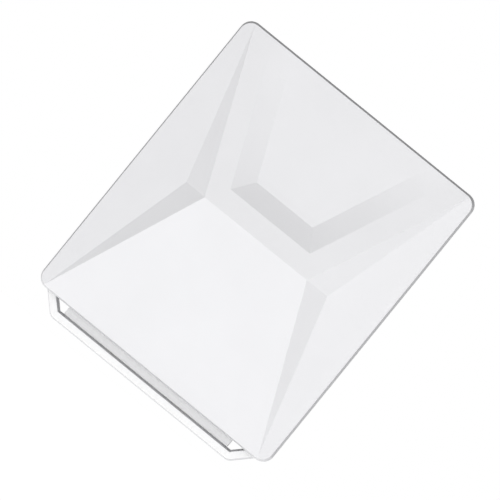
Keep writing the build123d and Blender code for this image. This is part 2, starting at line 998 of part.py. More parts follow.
with BuildPart() as vent_plug:
    with BuildSketch(backing(housing_back_front)):
        with Locations((-vent_spot[0], vent_spot[1])):
            Circle(vent_cap_radius)
    extrude(amount=vent_cap_height)
    chamfer(vent_plug.faces().sort_by(Axis.Y)[-1].edges(), length=vent_cap_chamfer)
    with BuildSketch(facing(housing_back_front)):
        with Locations(vent_spot):
            Circle(vent_stem_radius)
    extrude(amount=housing_wall + vent_stem_end)
    with BuildSketch(facing(housing_back_front)):
        with Locations(vent_spot):
            Circle(vent_stem_radius - vent_stem_wall)
    extrude(amount=housing_wall + vent_stem_end, mode=Mode.SUBTRACT)
finish(vent_plug.part, "vent_plug")

ground_washer = rings(
    backing(housing_back_front),
    [(-ground_spot[0], ground_spot[1])],
    ground_washer_radius,
    m5_radius + screw_clearance,
    ground_washer_thickness,
)
finish(ground_washer, "ground_washer")

ground_screw = hex_bolts(
    facing(housing_back_front - ground_washer_thickness),
    [ground_spot],
    m5_radius,
    ground_screw_length,
    ground_screw_flats,
    ground_screw_head,
)
finish(ground_screw, "ground_screw")

# ---------------------------------------------------------------- tilt bracket

slot_arc = CenterArc(
    (pivot_front, pivot_z),
    lock_radius,
    -90 - slot_half_sweep,
    2 * slot_half_sweep,
    mode=Mode.PRIVATE,
)
slot_ends = [slot_arc.position_at(0), slot_arc.position_at(1)]
ear_root_half = bracket_height / 2 - bracket_ear_margin

with BuildPart() as tilt_bracket:
    with BuildSketch(facing(plate_back_front)):
        RectangleRounded(bracket_width, bracket_height, bracket_corner_radius)
        with Locations(*bracket_spots):
            Circle(m5_radius + screw_clearance, mode=Mode.SUBTRACT)
    extrude(amount=bracket_thickness)
    for ear_x in (inner_ear_outside, -inner_ear_inside):
        with BuildSketch(upright(ear_x)):
            with Locations((plate_back_front - ear_root / 2, 0)):
                Rectangle(ear_root, 2 * ear_root_half)
            with Locations((pivot_front, pivot_z)):
                Circle(ear_pivot_radius)
            with Locations(*slot_ends):
                Circle(slot_lobe_radius)
            make_hull()
        extrude(amount=ear_thickness)
    with BuildSketch(upright(inner_ear_outside)):
        with Locations((pivot_front, pivot_z)):
            Circle(m8_radius + pivot_clearance)
        SlotArc(slot_arc, 2 * (m8_radius + bolt_clearance))
    extrude(amount=2 * inner_ear_outside, mode=Mode.SUBTRACT)
finish(tilt_bracket.part, "tilt_bracket")

bracket_screws = socket_screws(
    facing(plate_back_front),
    bracket_spots,
    m5_radius,
    bracket_thickness + housing_wall + inner_boss_height - bracket_screw_margin,
    m5_head_radius,
    m5_head_height,
)
finish(bracket_screws, "bracket_screws")

# ---------------------------------------------------------------- pole bracket

saddle_depth = saddle_front - clamp_gap / 2

with BuildPart() as pole_bracket:
    with BuildSketch(Plane.XY.offset(-clamp_height / 2)):
        with Locations((0, -(saddle_front + clamp_gap / 2) / 2)):
            Rectangle(clamp_width, saddle_depth)
        Circle(pole_radius, mode=Mode.SUBTRACT)
    extrude(amount=clamp_height)
    for corner_edges in (
        pole_bracket.edges().filter_by(Axis.Z).group_by(Axis.X)[0],
        pole_bracket.edges().filter_by(Axis.Z).group_by(Axis.X)[-1],
    ):
        fillet(corner_edges, radius=cast_corner_radius)
    for ear_x in (outer_ear_outside, -outer_ear_inside):
        with BuildSketch(upright(ear_x)):
            with Locations((saddle_front - ear_root / 2, 0)):
                Rectangle(ear_root, clamp_height - 2 * saddle_ear_margin)
            with Locations((pivot_front, pivot_z)):
                Circle(ear_pivot_radius)
            with Locations((pivot_front, lock_z)):
                Circle(ear_lock_radius)
            make_hull()
        extrude(amount=ear_thickness)
    with BuildSketch(upright(outer_ear_outside)):
        with Locations((pivot_front, pivot_z), (pivot_front, lock_z)):
            Circle(m8_radius + screw_clearance)
    extrude(amount=2 * outer_ear_outside, mode=Mode.SUBTRACT)
    with BuildSketch(facing(clamp_gap / 2)):
        with Locations(*clamp_spots):
            Circle(m8_radius + bolt_clearance)
    extrude(amount=saddle_depth, mode=Mode.SUBTRACT)
finish(pole_bracket.part, "pole_bracket")

washer_bore = m8_radius + bolt_clearance
inner_washer_x = inner_ear_inside - face_clearance - m8_washer_thickness
bolt_seat_x = outer_ear_outside + m8_washer_thickness
tilt_bolt_length = bolt_seat_x - inner_washer_x + m8_nut_height + tilt_bolt_end

for title, spot_z in (("pivot", pivot_z), ("lock", lock_z)):
    spot = [(pivot_front, spot_z)]
    tilt_bolts = hex_bolts(
        upright(bolt_seat_x), spot, m8_radius, tilt_bolt_length, m8_flats, m8_head_height
    )
    finish(both_sides(tilt_bolts), f"{title}_bolts")
    with BuildPart() as tilt_washers:
        for washer_x in (bolt_seat_x, inner_washer_x + m8_washer_thickness):
            add(
                rings(
                    upright(washer_x),
                    spot,
                    m8_washer_radius,
                    washer_bore,
                    m8_washer_thickness,
                )
            )
    finish(both_sides(tilt_washers.part), f"{title}_washers")
    tilt_nuts = hex_nuts(
        upright(inner_washer_x), spot, m8_flats, m8_radius, m8_nut_height
    )
    finish(both_sides(tilt_nuts), f"{title}_nuts")

clamp_bolts = hex_bolts(
    backing(saddle_front),
    clamp_spots,
    m8_radius,
    saddle_front + clamp_bolt_end,
    m8_flats,
    m8_head_height,
)
finish(clamp_bolts, "clamp_bolts")

# ---------------------------------------------------------------- clamp jaw

with BuildPart() as clamp_jaw:
    with BuildSketch(Plane.XY.offset(-clamp_height / 2)):
        with Locations((0, (jaw_back + clamp_gap / 2) / 2)):
            Rectangle(clamp_width, jaw_back - clamp_gap / 2)
        Circle(pole_radius, mode=Mode.SUBTRACT)
    extrude(amount=clamp_height)
    for corner_edges in (
        clamp_jaw.edges().filter_by(Axis.Z).group_by(Axis.X)[0],
        clamp_jaw.edges().filter_by(Axis.Z).group_by(Axis.X)[-1],
    ):
        fillet(corner_edges, radius=cast_corner_radius)
    with BuildSketch(backing(-clamp_gap / 2)):
        with Locations(*clamp_spots):
            Circle(washer_bore)
    extrude(amount=jaw_back - clamp_gap / 2, mode=Mode.SUBTRACT)
finish(clamp_jaw.part, "clamp_jaw")

clamp_washers = rings(
    backing(-jaw_back), clamp_spots, m8_washer_radius, washer_bore, m8_washer_thickness
)
finish(clamp_washers, "clamp_washers")

clamp_nuts = hex_nuts(
    backing(-jaw_back - m8_washer_thickness), clamp_spots, m8_flats, washer_bore, m8_nut_height
)
finish(clamp_nuts, "clamp_nuts")
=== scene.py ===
"""Visual model of an enclosed panel antenna on a tilting pole clamp.

All lengths are metres in the frame of the packed parts: +Z is up, -Y is the front, the origin
is on the pole's axis. A "front" value is a distance from the pole's axis, so y = -front.
"""

import json
import math

import bmesh
import bpy
import numpy as np
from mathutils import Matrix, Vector

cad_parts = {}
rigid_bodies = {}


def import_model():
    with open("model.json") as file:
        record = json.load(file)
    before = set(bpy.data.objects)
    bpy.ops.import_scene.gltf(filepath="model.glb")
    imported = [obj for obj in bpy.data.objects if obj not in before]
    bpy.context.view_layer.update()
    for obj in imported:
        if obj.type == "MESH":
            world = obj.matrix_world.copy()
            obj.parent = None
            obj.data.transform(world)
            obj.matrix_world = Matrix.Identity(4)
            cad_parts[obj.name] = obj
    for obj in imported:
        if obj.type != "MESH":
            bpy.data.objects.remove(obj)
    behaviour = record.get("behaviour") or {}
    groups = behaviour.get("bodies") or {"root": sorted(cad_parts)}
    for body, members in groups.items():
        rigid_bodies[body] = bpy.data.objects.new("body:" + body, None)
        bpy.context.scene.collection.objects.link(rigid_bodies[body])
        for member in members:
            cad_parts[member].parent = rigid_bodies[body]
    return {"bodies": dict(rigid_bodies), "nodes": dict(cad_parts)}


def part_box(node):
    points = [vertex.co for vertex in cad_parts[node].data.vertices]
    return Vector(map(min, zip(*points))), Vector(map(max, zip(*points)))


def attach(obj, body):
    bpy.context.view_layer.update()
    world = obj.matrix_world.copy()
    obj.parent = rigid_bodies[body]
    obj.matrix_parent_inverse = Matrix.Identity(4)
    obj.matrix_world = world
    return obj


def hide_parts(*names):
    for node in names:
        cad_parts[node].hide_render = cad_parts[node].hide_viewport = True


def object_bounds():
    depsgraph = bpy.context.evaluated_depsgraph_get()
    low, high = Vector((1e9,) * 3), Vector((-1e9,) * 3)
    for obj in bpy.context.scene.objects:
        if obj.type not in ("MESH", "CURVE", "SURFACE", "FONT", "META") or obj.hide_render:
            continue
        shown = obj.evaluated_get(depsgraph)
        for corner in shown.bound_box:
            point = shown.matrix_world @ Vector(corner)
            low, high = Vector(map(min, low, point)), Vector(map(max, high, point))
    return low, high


bl_info = {
    "name": "Panel antenna",
    "version": (1, 0, 0),
    "blender": (4, 5, 0),
    "location": "3D View > Sidebar > Antenna",
    "description": "Builds the pieces, finishes and studio of a panel antenna on its packed frame",
    "category": "Add Mesh",
}

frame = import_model()
cad_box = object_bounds()
MM = 0.001
QUARTER = math.pi / 2


def cad_span(node, axis):
    """Lowest and highest value of a packed node along one axis."""
    low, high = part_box(node)
    return float(low[axis]), float(high[axis])


def linear(code):
    """Linear RGB of an sRGB hex code: the dark end is divided, the rest follows a 2.4 power."""
    level = np.array([int(code[i : i + 2], 16) for i in (0, 2, 4)]) / 255
    values = np.where(level <= 0.04045, level / 12.92, ((level + 0.055) / 1.055) ** 2.4)
    return tuple(float(v) for v in values)

# ---- sizes and colours


def length(name, description, millimetres):
    """A property for a length, given in millimetres and kept in metres."""
    return bpy.props.FloatProperty(
        name=name,
        description=description,
        default=millimetres * MM,
        min=0.0,
        precision=5,
        subtype="DISTANCE",
        unit="LENGTH",
    )


def turn(name, description, degrees):
    """A property for an angle, given in degrees and kept in radians."""
    return bpy.props.FloatProperty(
        name=name,
        description=description,
        default=math.radians(degrees),
        subtype="ANGLE",
        unit="ROTATION",
    )


def colour(name, description, code):
    """A property for a colour, given as an sRGB hex code."""
    return bpy.props.FloatVectorProperty(
        name=name,
        description=description,
        default=linear(code),
        min=0.0,
        max=1.0,
        subtype="COLOR",
    )


class RadomeSizes(bpy.types.PropertyGroup):
    """Faceted front shell"""

    width: length("Width", "Width over the skirt", 300.0)
    height: length("Height", "Height over the skirt", 343.0)
    corner: length("Corner radius", "Radius of the skirt's corners", 13.0)
    back_front: length("Skirt back", "Distance of the skirt's open edge from the pole", 138.0)
    skirt: length("Skirt depth", "Depth of the flared skirt", 12.0)
    flare: length("Flare", "How far the skirt widens towards its open edge", 2.2)
    wall: length("Wall", "Thickness of the shell", 3.0)
    ridge_inset: length("Ridge inset", "From the face's side to the end of the ridge", 81.9)
    ridge_rise: length("Ridge rise", "Height of the ridge over the rim", 40.0)
    ridge_z: length("Ridge level", "Level of the ridge", 2.0)
    shoulder_inset: length("Shoulder inset", "From the face's side to the shoulder", 56.6)
    shoulder_rise: length("Shoulder rise", "Height of the shoulder over the rim", 20.0)
    tip_inset_x: length("Tip inset across", "From the face's side to a hip's tip", 9.4)
    tip_inset_z: length("Tip inset along", "From the face's end to a hip's tip", 1.5)
    field_bottom: length("Field lower margin", "From the ridge to the sunk field", 22.3)
    field_side: length("Field side margin", "From a hip to the sunk field", 22.4)
    field_run: length("Field lower wall", "Run of the field's lower wall", 21.7)
    field_side_run: length("Field side wall", "Run of the field's side walls", 24.6)
    field_drop: length("Field depth", "Depth of the field at its lower wall", 11.0)
    edge: length("Crease radius", "Rounding of the moulded creases", 1.1)


class GuardSizes(bpy.types.PropertyGroup):
    """Loop that guards the connectors"""

    face: length("Face width", "Width of the loop's front face", 7.2)
    flare: length("Draft", "How far each wall leans out over the depth", 1.9)
    front: length("Front", "Distance of the front face from the pole", 136.0)
    depth: length("Depth", "Depth of the loop", 14.0)
    bar_z: length("Bar level", "Depth of the bar's outer edge below the pole's middle", 190.1)
    tab_x: length("Tab place", "Distance of a tab's middle from the middle plane", 135.5)
    tab_top: length("Tab top", "Depth of the tabs' upper ends below the middle", 118.0)
    tab_width: length("Tab width", "Width of the flat tabs", 11.0)
    limb_x: length("Limb place", "Where a limb's middle line meets the bar's", 113.8)
    bend: length("Bend radius", "Radius of the middle line at the bends", 5.0)
    edge: length("Edge radius", "Rounding of the moulded edges", 0.6)


class FixingSizes(bpy.types.PropertyGroup):
    """Bolts, nuts and connectors"""

    bolt: length("Bolt radius", "Radius of the clamp and tilt bolts", 4.0)
    bolt_pitch: length("Bolt pitch", "Thread pitch of the bolts", 1.25)
    bolt_flats: length("Bolt head", "Width of the heads over their flats", 13.0)
    bolt_head: length("Head height", "Height of the bolt heads", 5.3)
    clamp_x: length("Clamp bolts across", "Clamp bolts from the middle plane", 42.0)
    clamp_z: length("Clamp bolts up", "Clamp bolts from the middle level", 20.0)
    saddle: length("Saddle front", "Distance of the bolt heads' seat from the pole", 33.0)
    connector: length("Connector radius", "Radius over the connector's thread", 7.94)
    connector_pitch: length("Connector pitch", "Thread pitch of the connectors", 1.058)
    connector_x: length("Connectors across", "Connectors from the middle plane", 45.0)
    connector_front: length("Connectors' place", "Connectors' distance from the pole", 111.0)
    edge: length("Edge radius", "Rounding of machined and cast edges", 0.5)


class AntennaColours(bpy.types.PropertyGroup):
    """Colours of the finishes"""

    radome: colour("Radome", "Moulded shell", "EDEDEF")
    guard: colour("Guard", "Moulded guard loop", "F9F9F9")
    # Painted shade: the walls of the shell and the guard loop get this darker colour to stand for
    # the shade that falls on them. Their grain is the same as the face's.
    sides: colour("Sides", "Sides of the shell and the loop, darker as painted shade", "D4D4D6")
    housing: colour("Housing", "Powder coat of the cast housing", "C9CBCC")
    shroud: colour("Shroud", "Anodised connector shroud", "FBFBFC")
    rubber: colour("Gasket", "Rubber gasket and seals", "2B2C2D")
    zinc: colour("Galvanised steel", "Tilt bracket", "A9AEB1")
    cast: colour("Cast clamp", "Cast and tumbled clamp halves", "A3A6A8")
    stainless: colour("Stainless steel", "Bolts, nuts and screws", "B9BBBC")
    nickel: colour("Nickel plate", "Connector bodies", "C2BEB4")
    gold: colour("Gold plate", "Connector contacts", "D8B25A")
    copper: colour("Copper", "Radiating patches", "C98B62")
    sheet: colour("Sheet aluminium", "Reflector plate", "C3C7CA")
    laminate: colour("Laminate", "Feed board", "3F6B4A")
    ptfe: colour("PTFE", "Insulators and spacers", "ECEBE6")
    vent: colour("Vent plastic", "Vent plug", "3A3C3E")
    floor: colour("Floor", "Studio floor", "F4F4F5")


class StudioSettings(bpy.types.PropertyGroup):
    """Camera, light and floor"""

    distance: length("Camera distance", "From the aim to the camera", 5000.0)
    lens: bpy.props.FloatProperty(
        name="Lens", description="Focal length in millimetres", default=357.4
    )
    azimuth: turn("Azimuth", "Camera's turn from straight in front towards +X", 3.0)
    elevation: turn("Elevation", "Camera's height as an angle", 1.1)
    roll: turn("Roll", "Camera's turn about its own line of sight", 39.08)
    aim: bpy.props.FloatVectorProperty(
        name="Aim",
        description="Point that the camera looks at",
        default=(0.0005, -0.15, -0.0112),
        unit="LENGTH",
    )
    strengths: bpy.props.FloatVectorProperty(
        name="Light strengths",
        description="Radiance of each soft light of the studio, in the order of their table",
        size=8,
        default=(0.0, 1.737, 1.015, 0.337, 0.05, 1.174, 0.0, 0.22),
        min=0.0,
    )
    floor_gap: length("Floor gap", "From the guard down to the floor", 250.0)
    floor_radius: length("Floor radius", "Radius of the round floor", 4000.0)
    floor_glow: bpy.props.FloatProperty(
        name="Floor glow", description="Light that the floor itself gives", default=0.74
    )

# ---- mesh work


def grid_faces(rows, columns, closed=False):
    """Quads of a rows x columns grid of points, each from a point, the next one in its row and
    the two above them; closed joins the last column to the first."""
    index = np.arange(rows * columns).reshape(rows, columns)
    if closed:
        index = np.hstack([index, index[:, :1]])
    corners = [index[:-1, :-1], index[:-1, 1:], index[1:, 1:], index[1:, :-1]]
    return np.stack([c.ravel() for c in corners], axis=1)


def turned(faces):
    """The same faces, seen from the other side."""
    return faces[:, ::-1]


def joined(parts):
    """One set of points and faces from several: each set's faces count on from the last's."""
    counts = np.cumsum([0] + [len(points) for points, _ in parts[:-1]])
    points = np.vstack([points for points, _ in parts])
    faces = np.vstack([faces + start for (_, faces), start in zip(parts, counts)])
    return points, faces


def moved(part, offset):
    points, faces = part
    return points + np.asarray(offset), faces


def lathe(radii, stations, sides=48, hexed=None, lean=0.0):
    """Round surface about the Z axis from a profile of radii and heights. Where hexed is 1 the
    radius is divided by the cosine of the angle from the nearest flat, which makes a hexagon,
    and lean lowers its corners by that slope times how far they stick out."""
    angle = np.arange(sides) * 2 * math.pi / sides
    radii, stations = np.asarray(radii, float)[:, None], np.asarray(stations, float)[:, None]
    hexed = np.zeros(len(radii)) if hexed is None else np.asarray(hexed, float)
    from_flat = (angle + math.pi / 6) % (math.pi / 3) - math.pi / 6
    stretch = 1 + hexed[:, None] * (1 / np.cos(from_flat)[None, :] - 1)
    radius = radii * stretch
    slope = np.broadcast_to(np.asarray(lean, float), (len(radii),))[:, None]
    height = stations - slope * (radius - radii)
    points = np.stack([radius * np.cos(angle), radius * np.sin(angle), height], axis=2)
    return points.reshape(-1, 3), grid_faces(len(radii), sides, closed=True)


def thread(radius, pitch, start, end, sides=48, steps=5):
    """Screw thread about the Z axis from height start up to end. The rows rise by one pitch
    a turn, and the radius drops from the crest as a triangle wave along each pitch, by 0.54
    of the pitch at most, fading out over the first and last pitch."""
    depth = 0.54 * pitch
    turns = int(math.ceil((end - start) / pitch)) + 2
    row = np.arange(turns * steps + 1)[:, None] / steps - 1
    angle = np.linspace(0, 2 * math.pi, sides + 1)[None, :]
    height = start + pitch * (row + angle / (2 * math.pi))
    wave = np.abs(2 * (row % 1.0) - 1) * np.ones_like(angle)
    height = np.clip(height, start, end)
    fade = np.clip(np.minimum(height - start, end - height) / pitch, 0, 1)
    bore = radius - depth
    r = bore + depth * wave * fade
    points = np.stack([r * np.cos(angle), r * np.sin(angle), height], axis=2)
    return points.reshape(-1, 3), grid_faces(len(row), sides + 1)


def laid(part, direction):
    """Points whose Z axis is laid along +Y, -Y, +X, -X or -Z."""
    points, faces = part
    x, y, z = points.T
    ways = {
        "+Y": (x, z, -y),
        "-Y": (x, -z, y),
        "+X": (z, y, -x),
        "-X": (-z, y, x),
        "-Z": (x, -y, -z),
        "+Z": (x, y, z),
    }
    return np.stack(ways[direction], axis=1), faces


def carried(path, sections):
    """Closed section carried along a path in the X-Z plane. Each section point is given by how
    far it lies across the path and at which front distance; at a bend it moves along the
    mitre, which is the mean of the two edges' normals over the cosine of half the turn."""
    step = np.diff(path, axis=0)
    step /= np.linalg.norm(step, axis=1)[:, None]
    normal = np.stack([-step[:, 1], step[:, 0]], axis=1)
    before = np.vstack([normal[:1], normal])
    after = np.vstack([normal, normal[-1:]])
    mitre = before + after
    mitre /= np.sum(mitre * before, axis=1)[:, None]
    across, front = sections[..., 0], sections[..., 1]
    x = path[:, 0, None] + mitre[:, 0, None] * across
    z = path[:, 1, None] + mitre[:, 1, None] * across
    points = np.stack([x, -front, z], axis=2)
    return points.reshape(-1, 3), grid_faces(len(path), sections.shape[1], closed=True)


def bent(corners, radius, steps=6):
    """Path through the corners with an arc of the given radius at each bend: the arc starts
    radius x tan(half the turn) before the corner and its points are spaced evenly in angle."""
    points = [corners[:1]]
    for before, corner, after in zip(corners[:-2], corners[1:-1], corners[2:]):
        arrive = (corner - before) / np.linalg.norm(corner - before)
        leave = (after - corner) / np.linalg.norm(after - corner)
        turn = math.acos(float(np.clip(arrive @ leave, -1, 1)))
        tangent = radius * math.tan(turn / 2)
        side = leave - arrive * (arrive @ leave)
        side /= np.linalg.norm(side)
        angle = np.linspace(0, turn, steps + 1)[:, None]
        start = corner - arrive * tangent
        points.append(start + radius * (np.sin(angle) * arrive + (1 - np.cos(angle)) * side))
    points.append(corners[-1:])
    return np.vstack(points)


def merged(points, faces, wall_check=False):
    """Mesh with coinciding points made one and faces without area taken out."""
    mesh = bpy.data.meshes.new("antenna")
    mesh.from_pydata(points.tolist(), [], faces.tolist())
    work = bmesh.new()
    work.from_mesh(mesh)
    bmesh.ops.remove_doubles(work, verts=work.verts, dist=2e-6)
    bmesh.ops.dissolve_degenerate(work, dist=1e-6, edges=work.edges)
    if wall_check:
        bmesh.ops.recalc_face_normals(work, faces=work.faces)
    work.to_mesh(mesh)
    work.free()
    return mesh


# Faces turned this far to the side get the darker finish that paints shade on them.
SIDEWAYS = 0.6  # a face whose normal has less than this of the front's direction is a side


def new_piece(
    name, mesh, body, finish, stands_for=(), edge=0.0, crease=30.0, painted_shade_finish=None
):
    """Object at the origin on a body, with smooth faces, sharp or rounded edges and a finish. A
    second, darker finish that paints shade on the sides goes on the faces that are turned more to
    the side than to the front."""
    mesh.name = name
    mesh.shade_smooth()
    mesh.set_sharp_from_angle(angle=math.radians(crease))
    mesh.materials.clear()
    mesh.materials.append(finish_of(finish))
    if painted_shade_finish is not None:
        # Second slot: the darker finish, painted shade on the faces turned to the side
        mesh.materials.append(finish_of(painted_shade_finish))
        normals = np.zeros(len(mesh.polygons) * 3, np.float32)
        mesh.polygons.foreach_get("normal", normals)
        painted_shade_faces = np.abs(normals[1::3]) < SIDEWAYS
        mesh.polygons.foreach_set("material_index", painted_shade_faces.astype(np.int32))
    piece = bpy.data.objects.new(name, mesh)
    bpy.context.scene.collection.objects.link(piece)
    if edge > 0:
        bevel = piece.modifiers.new("Rounded edges", "BEVEL")
        bevel.width = edge
        bevel.segments = 3
        bevel.limit_method = "ANGLE"
        bevel.angle_limit = math.radians(crease)
        bevel.harden_normals = True
        bevel.use_clamp_overlap = True
        bevel.miter_outer = "MITER_ARC"
        flats = piece.modifiers.new("Flat faces", "WEIGHTED_NORMAL")
        flats.mode = "FACE_AREA"
        flats.weight = 100
        flats.keep_sharp = True
    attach(piece, body)
    if stands_for:
        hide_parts(*stands_for)
    return piece


def body_of(node):
    """Name of the body that a packed node rides on."""
    parent = frame["nodes"][node].parent
    return next(name for name, empty in frame["bodies"].items() if empty == parent)


def rounded_copy(node, finish, edge, crease=30.0):
    """Copy of a packed node with its triangles merged into whole faces and its edges rounded."""
    mesh = frame["nodes"][node].data.copy()
    work = bmesh.new()
    work.from_mesh(mesh)
    bmesh.ops.remove_doubles(work, verts=work.verts, dist=2e-6)
    bmesh.ops.dissolve_limit(
        work, angle_limit=math.radians(0.4), verts=work.verts, edges=work.edges
    )
    work.to_mesh(mesh)
    work.free()
    return new_piece(f"{node}_finished", mesh, body_of(node), finish, (node,), edge, crease)


def dress(node, finish):
    """Gives a packed node its finish and leaves its shape alone."""
    mesh = frame["nodes"][node].data
    mesh.materials.clear()
    mesh.materials.append(finish_of(finish))

# ---- finishes

EVEN = (1.0, 1.0, 1.0)  # a noise's lumps are as long as they are wide
MIDDLE = (0.3, 0.7)  # a noise is nearly always between these
NOISE_ROUGHNESS = 0.55


def add_node(tree, kind, settings=None, links=None, stops=(), **attributes):
    """Adds a shader node with its attributes, input values, links from other outputs and, for
    a ramp, its stops."""
    node = tree.nodes.new(kind)
    for name, value in attributes.items():
        setattr(node, name, value)
    for name, value in (settings or {}).items():
        node.inputs[name].default_value = value
    for name, source in (links or {}).items():
        tree.links.new(source, node.inputs[name])
    for stop, (place, shade) in zip(node.color_ramp.elements if stops else (), stops):
        stop.position = place
        stop.color = (*shade, 1)
    return node


def new_finish(name, shader_values, noises):
    """Material with a Principled shader of these constant values, and its named noises. Each
    noise has the size of its lumps in metres, its detail and its stretch along the axes."""
    finish = bpy.data.materials.get(name) or bpy.data.materials.new(name)
    finish.use_nodes = True
    tree = finish.node_tree
    tree.nodes.clear()
    shader = add_node(tree, "ShaderNodeBsdfPrincipled", shader_values)
    add_node(tree, "ShaderNodeOutputMaterial", links={"Surface": shader.outputs["BSDF"]})
    place = add_node(tree, "ShaderNodeTexCoord").outputs["Object"]
    sources = {}
    for label, (size, detail, stretch) in noises.items():
        scale = tuple(1 / (size * along) for along in stretch)
        scaled = add_node(tree, "ShaderNodeMapping", {"Scale": scale}, {"Vector": place})
        sources[label] = add_node(
            tree,
            "ShaderNodeTexNoise",
            {"Scale": 1.0, "Detail": detail, "Roughness": NOISE_ROUGHNESS},
            {"Vector": scaled.outputs["Vector"]},
        ).outputs["Fac"]
    return finish, tree, shader, place, sources


def shades(base, spread):
    """A darker and a lighter shade of a colour, each as far from it as the spread says."""
    return tuple(c * (1 - spread) for c in base), tuple(min(1.0, c * (1 + spread)) for c in base)


def surfaced(tree, shader, base, tint, gloss, relief):
    """Links the shader to its patterns. The tint runs between two shades of the base as its
    source does, the gloss runs from its low to its high roughness, and the relief stands as
    high as its height in metres says."""
    source, spread, low, high = tint
    stops = tuple(zip((low, high), shades(base, spread)))
    ramp = add_node(tree, "ShaderNodeValToRGB", links={"Fac": source}, stops=stops)
    source, smooth, rough = gloss
    ranged = add_node(
        tree,
        "ShaderNodeMapRange",
        {"From Min": MIDDLE[0], "From Max": MIDDLE[1], "To Min": smooth, "To Max": rough},
        {"Value": source},
    )
    source, height, strength = relief
    bump = add_node(
        tree, "ShaderNodeBump", {"Strength": strength, "Distance": height}, {"Height": source}
    )
    tree.links.new(ramp.outputs["Color"], shader.inputs["Base Color"])
    tree.links.new(ranged.outputs["Result"], shader.inputs["Roughness"])
    tree.links.new(bump.outputs["Normal"], shader.inputs["Normal"])


def grained(name, base, values, cloud, grain, spread, gloss, relief):
    """Finish of two noises: a coarse one shades the colour, a fine one the gloss and relief."""
    noises = {"cloud": (*cloud, EVEN), "grain": (*grain, EVEN)}
    finish, tree, shader, _, sources = new_finish(name, values, noises)
    surfaced(
        tree,
        shader,
        base,
        (sources["cloud"], spread, *MIDDLE),
        (sources["grain"], *gloss),
        (sources["grain"], *relief),
    )
    return finish


def moulded_asa(name, base):
    """White ASA, injection moulded in a spark-eroded tool: satin, with a fine even grain and
    very faint flow shading. The real grain is 0.1 mm, so it is drawn coarser, to show."""
    values = {"Roughness": 0.42, "IOR": 1.52}
    cloud, grain = (70 * MM, 2.0), (1.6 * MM, 2.0)
    return grained(name, base, values, cloud, grain, 0.012, (0.38, 0.5), (0.03 * MM, 0.35))


def powder_coated(name, base):
    """Die-cast aluminium under polyester powder coat: half gloss with orange peel."""
    values = {"Roughness": 0.4, "IOR": 1.5}
    cloud, grain = (50 * MM, 3.0), (2.4 * MM, 2.0)
    return grained(name, base, values, cloud, grain, 0.03, (0.34, 0.46), (0.06 * MM, 0.5))


def sand_cast(name, base):
    """Cast aluminium, tumbled: dull metal with a pebbled skin 1.5 mm across."""
    values = {"Roughness": 0.5, "Metallic": 0.8}
    cloud, grain = (20 * MM, 3.0), (1.5 * MM, 3.0)
    return grained(name, base, values, cloud, grain, 0.08, (0.42, 0.62), (0.12 * MM, 0.6))


def machined(name, base, rough=0.28):
    """Turned or cold-headed metal: bright, with fine tool marks that break up the gloss."""
    values = {"Roughness": rough, "Metallic": 1.0}
    cloud, grain = (6 * MM, 2.0), (0.8 * MM, 3.0)
    gloss = (rough * 0.8, rough * 1.35)
    return grained(name, base, values, cloud, grain, 0.06, gloss, (0.01 * MM, 0.5))


def rubber(name, base):
    """EPDM rubber, moulded: dark and matt, with a dusty bloom and a fine grain."""
    values = {"Roughness": 0.75, "IOR": 1.48}
    cloud, grain = (12 * MM, 4.0), (0.7 * MM, 2.0)
    return grained(name, base, values, cloud, grain, 0.18, (0.68, 0.85), (0.05 * MM, 0.5))


def moulded_plain(name, base, rough=0.4, ior=1.46):
    """Small moulded or turned plastic parts: smooth, faintly cloudy."""
    values = {"Roughness": rough, "IOR": ior}
    cloud, grain = (10 * MM, 3.0), (0.9 * MM, 2.0)
    gloss = (rough - 0.05, rough + 0.08)
    return grained(name, base, values, cloud, grain, 0.04, gloss, (0.02 * MM, 0.4))


def anodised(name, base, grain_axis):
    """Sheet aluminium, satin anodised: fine rolling lines along one axis under a dull skin."""
    stretch = [1.0, 1.0, 1.0]
    stretch[grain_axis] = 40.0
    finish, tree, shader, _, sources = new_finish(
        name, {"Roughness": 0.45, "Metallic": 0.35}, {"lines": (0.9 * MM, 3.0, stretch)}
    )
    lines = sources["lines"]
    tint, gloss, relief = (lines, 0.05, *MIDDLE), (lines, 0.38, 0.52), (lines, 0.02 * MM, 0.4)
    surfaced(tree, shader, base, tint, gloss, relief)
    return finish


def galvanised(name, base):
    """Hot-dip galvanised steel: zinc crystals 6 mm wide in slightly different greys."""
    crystal = 6 * MM
    finish, tree, shader, place, sources = new_finish(
        name, {"Roughness": 0.45, "Metallic": 0.85}, {"warp": (crystal, 2.0, EVEN)}
    )
    crystals = add_node(
        tree,
        "ShaderNodeTexVoronoi",
        {"Scale": 1 / crystal, "Randomness": 1.0},
        {"Vector": place},
        feature="F1",
    )
    parted = add_node(
        tree, "ShaderNodeSeparateColor", links={"Color": crystals.outputs["Color"]}
    )
    shade = parted.outputs["Red"]
    mixed = add_node(
        tree,
        "ShaderNodeMath",
        {1: 0.5},
        {0: shade, 2: sources["warp"]},
        operation="MULTIPLY_ADD",
    ).outputs["Value"]
    tint, gloss, relief = (mixed, 0.12, 0.3, 1.0), (shade, 0.36, 0.55), (mixed, 0.04 * MM, 0.4)
    surfaced(tree, shader, base, tint, gloss, relief)
    return finish


def etched_board(name, base):
    """Glass-epoxy laminate under solder resist: glossy green over a 1 mm glass weave."""
    values = {"Roughness": 0.3, "IOR": 1.55, "Coat Weight": 0.4}
    finish, tree, shader, place, sources = new_finish(
        name, values, {"cloud": (10 * MM, 3.0, EVEN)}
    )
    weave = add_node(
        tree,
        "ShaderNodeTexWave",
        {"Scale": 1 / (1 * MM) / 6.28, "Distortion": 0.6},
        {"Vector": place},
        bands_direction="DIAGONAL",
    ).outputs["Fac"]
    tint, gloss = (weave, 0.08, *MIDDLE), (sources["cloud"], 0.25, 0.38)
    surfaced(tree, shader, base, tint, gloss, (weave, 0.01 * MM, 0.4))
    return finish


